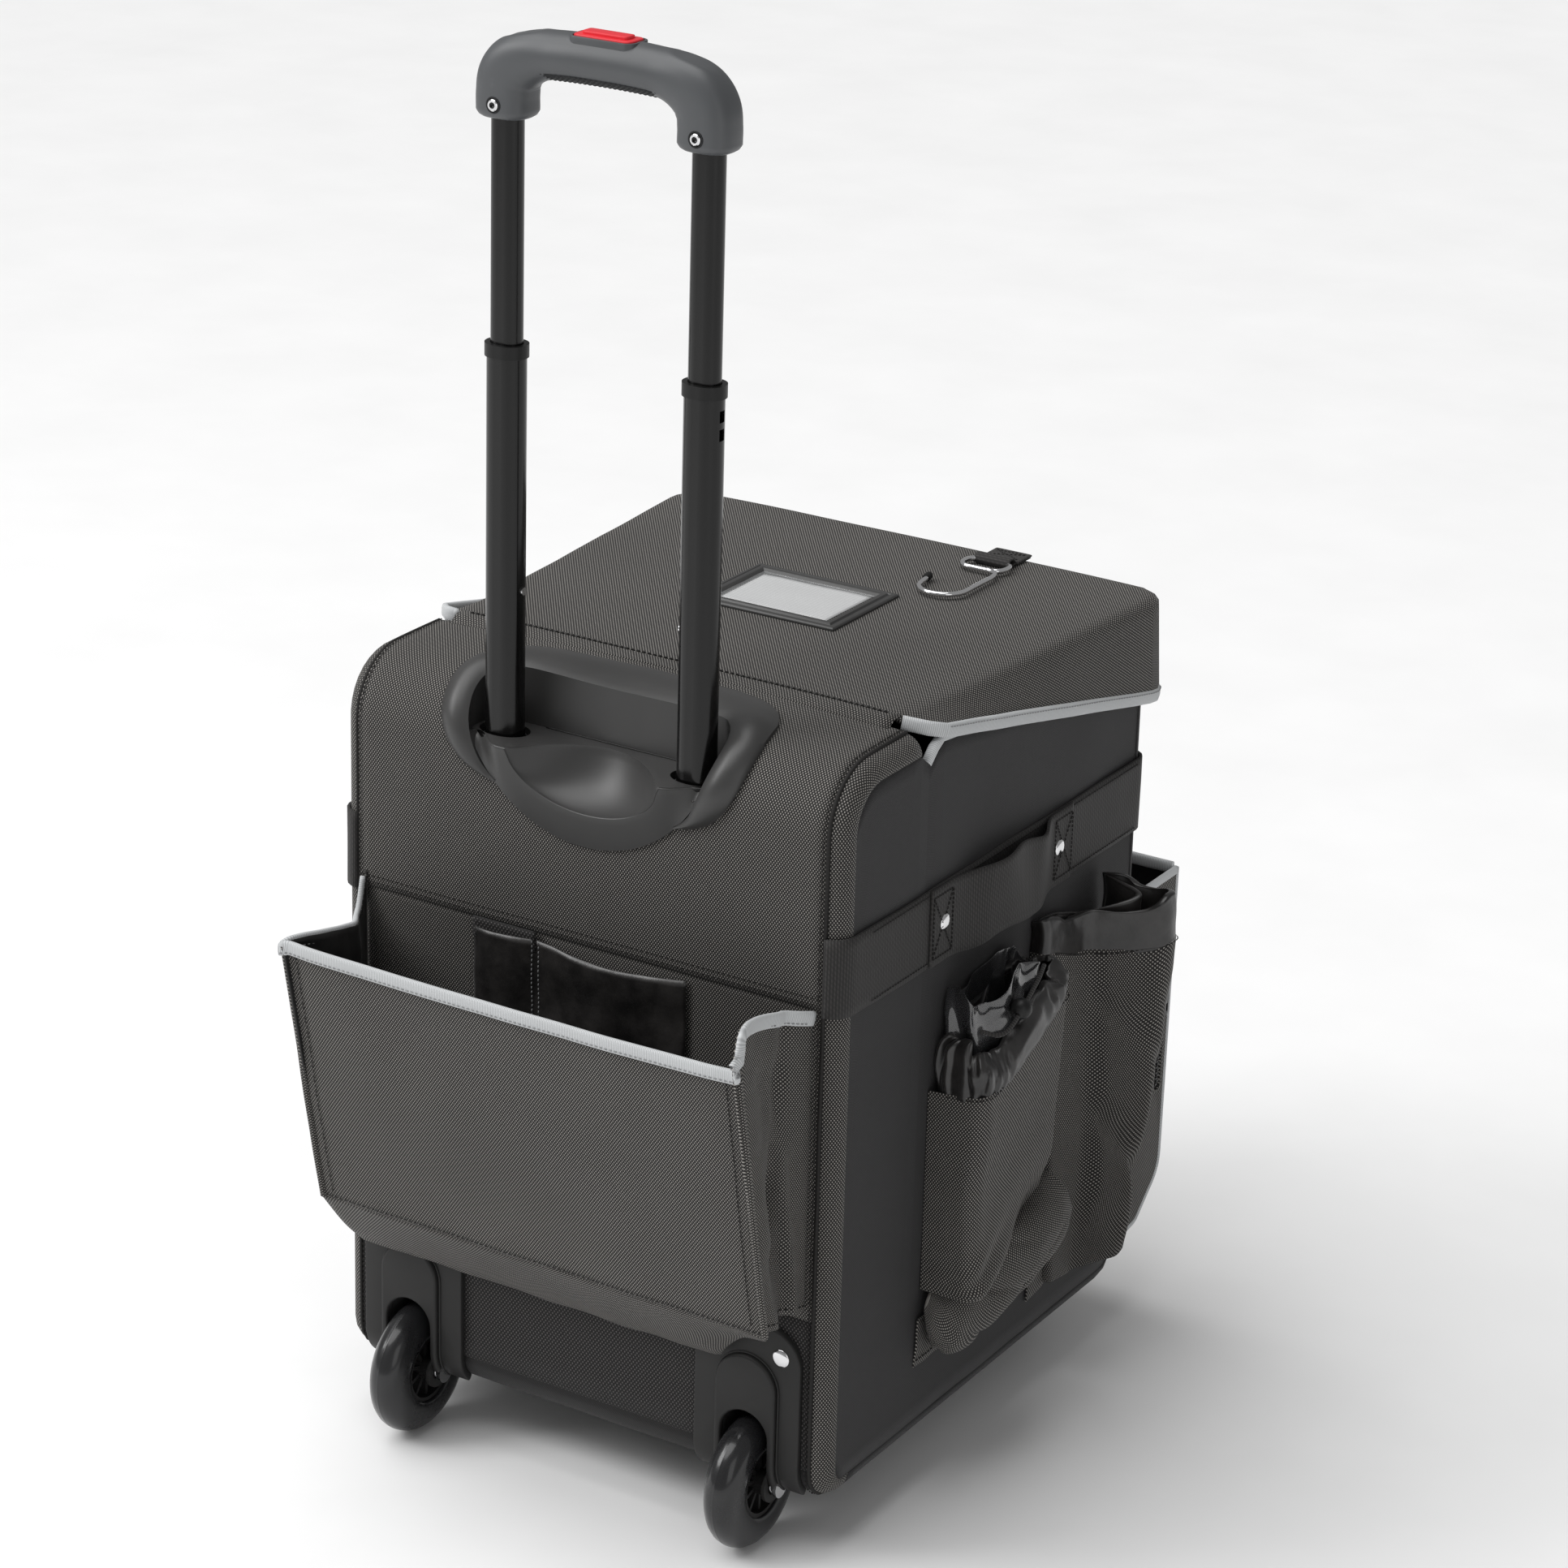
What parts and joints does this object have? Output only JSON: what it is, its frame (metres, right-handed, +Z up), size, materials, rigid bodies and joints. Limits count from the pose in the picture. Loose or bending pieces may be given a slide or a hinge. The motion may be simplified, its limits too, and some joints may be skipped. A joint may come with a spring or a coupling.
{
  "type": "rolling tool box",
  "caption": "Soft-sided rolling tool case with a telescopic handle, hinged lid with a label window and hook, folding rear pocket, side pouches and front pocket.",
  "frame": {"origin": "middle of the whole object's footprint, at floor level", "axes": "+Z up; -Y is the handle and wheel side, +Y the front; +X is the side with the two pouches"},
  "size_m": [0.44, 0.528, 0.926],
  "materials": {
    "ballistic_fabric": "woven, satin",
    "mesh_fabric": "coarse weave, matte",
    "twill_fabric": "fine twill, matte",
    "base_board": "matte",
    "grey_binding": "woven tape, matte",
    "nylon_lining": "smooth coated, semi-gloss",
    "moulded_plastic": "fine-grained satin",
    "grip_plastic": "satin",
    "black_tube": "gloss black anodised",
    "bare_tube": "drawn",
    "collar_plastic": "satin",
    "chrome": "polished",
    "spring_steel": "drawn wire",
    "webbing": "ribbed webbing, matte",
    "cord": "braided",
    "clear_film": "crumpled clear film",
    "clear_window": "clear, glossy",
    "card": "paper, matte",
    "red_button": "satin gloss",
    "tyre_rubber": "smooth polyurethane, glossy",
    "hub_plastic": "moulded",
    "foot_rubber": "matte"
  },
  "bodies": {
    "case": {"upper_back_panel": "ballistic_fabric", "lower_back_panel": "mesh_fabric", "side_panel_left": "twill_fabric", "side_panel_right": "twill_fabric", "front_panel": "ballistic_fabric", "bottom_panel": "base_board", "rear_bindings": "ballistic_fabric", "opening_binding": "grey_binding", "inner_liner": "nylon_lining", "handle_bezel": "moulded_plastic", "bezel_cup": "moulded_plastic", "fixed_tubes": "bare_tube", "tube_bracket": "moulded_plastic", "wheel_housing_left": "moulded_plastic", "wheel_housing_right": "moulded_plastic", "wheel_axles": "chrome", "rivets": "chrome", "front_feet": "foot_rubber", "side_straps": "webbing", "carry_handle_left": "webbing", "carry_handle_right": "webbing", "organizer_pouch": "nylon_lining", "liner_pouch": "ballistic_fabric", "liner_pouch_collar": "nylon_lining", "drawcord": "cord", "liner_bag": "clear_film", "tall_pouch": "ballistic_fabric", "tall_pouch_band": "nylon_lining", "front_pocket_panel": "ballistic_fabric", "front_pocket_gussets": "ballistic_fabric", "front_pocket_piping": "grey_binding", "zipper_chain": "collar_plastic", "rear_pocket_gussets": "ballistic_fabric"},
    "rear_pocket": {"rear_pocket_front": "ballistic_fabric", "rear_pocket_bottom": "ballistic_fabric", "rear_pocket_binding": "grey_binding"},
    "lid": {"lid_panel": "ballistic_fabric", "lid_flaps": "ballistic_fabric", "lid_piping": "grey_binding", "window_frame": "moulded_plastic", "label_window": "clear_window", "label_card": "card", "hook_strap": "webbing"},
    "hook": {"lid_hook": "chrome", "hook_tip": "collar_plastic"},
    "handle_middle": {"middle_tubes": "black_tube", "middle_collars": "collar_plastic", "lock_pins": "chrome"},
    "handle_upper": {"upper_tubes": "black_tube", "push_rods": "spring_steel", "grip_body": "grip_plastic", "grip_screws": "chrome", "button_spring": "spring_steel"},
    "release_button": {"release_button": "red_button"},
    "wheel_left": {"tyre_left": "tyre_rubber", "hub_left": "hub_plastic"},
    "wheel_right": {"tyre_right": "tyre_rubber", "hub_right": "hub_plastic"},
    "zip_slider": {"zipper_slider": "collar_plastic"},
    "cord_stop": {"cord_lock": "collar_plastic"}
  },
  "joints": [
    {"name": "lid_hinge", "type": "hinge", "parent": "case", "child": "lid", "pos_m": [-0.023, -0.084, 0.521], "axis": [1, 0, 0], "range_deg": [0, 95]},
    {"name": "hook_swing", "type": "hinge", "parent": "lid", "child": "hook", "pos_m": [0.0465, 0.194, 0.529], "axis": [-1, 0, 0], "range_deg": [0, 170]},
    {"name": "rear_pocket_fold", "type": "hinge", "parent": "case", "child": "rear_pocket", "pos_m": [-0.023, -0.183, 0.128], "axis": [-1, 0, 0], "range_deg": [0, 12], "deforming": ["rear_pocket_gussets"]},
    {"name": "middle_slide", "type": "slide", "parent": "case", "child": "handle_middle", "axis": [0, 0, -1], "range_m": [0, 0.228]},
    {"name": "upper_slide", "type": "slide", "parent": "handle_middle", "child": "handle_upper", "axis": [0, 0, -1], "range_m": [0, 0.134]},
    {"name": "button_press", "type": "slide", "parent": "handle_upper", "child": "release_button", "axis": [0, 0, -1], "range_m": [0, 0.004], "stiffness_N_per_m": 600, "springref_m": -0.002, "deforming": ["button_spring"]},
    {"name": "wheel_left_spin", "type": "hinge", "parent": "case", "child": "wheel_left", "pos_m": [-0.1496, -0.17, 0.044], "axis": [1, 0, 0], "continuous": true},
    {"name": "wheel_right_spin", "type": "hinge", "parent": "case", "child": "wheel_right", "pos_m": [0.1036, -0.17, 0.044], "axis": [1, 0, 0], "continuous": true},
    {"name": "zipper_slide", "type": "slide", "parent": "case", "child": "zip_slider", "axis": [0, 0, -1], "range_m": [0, 0.055]},
    {"name": "cord_stop_slide", "type": "slide", "parent": "case", "child": "cord_stop", "axis": [-0.0897, 0.9414, 0.325], "range_m": [0, 0.01]}
  ]
}
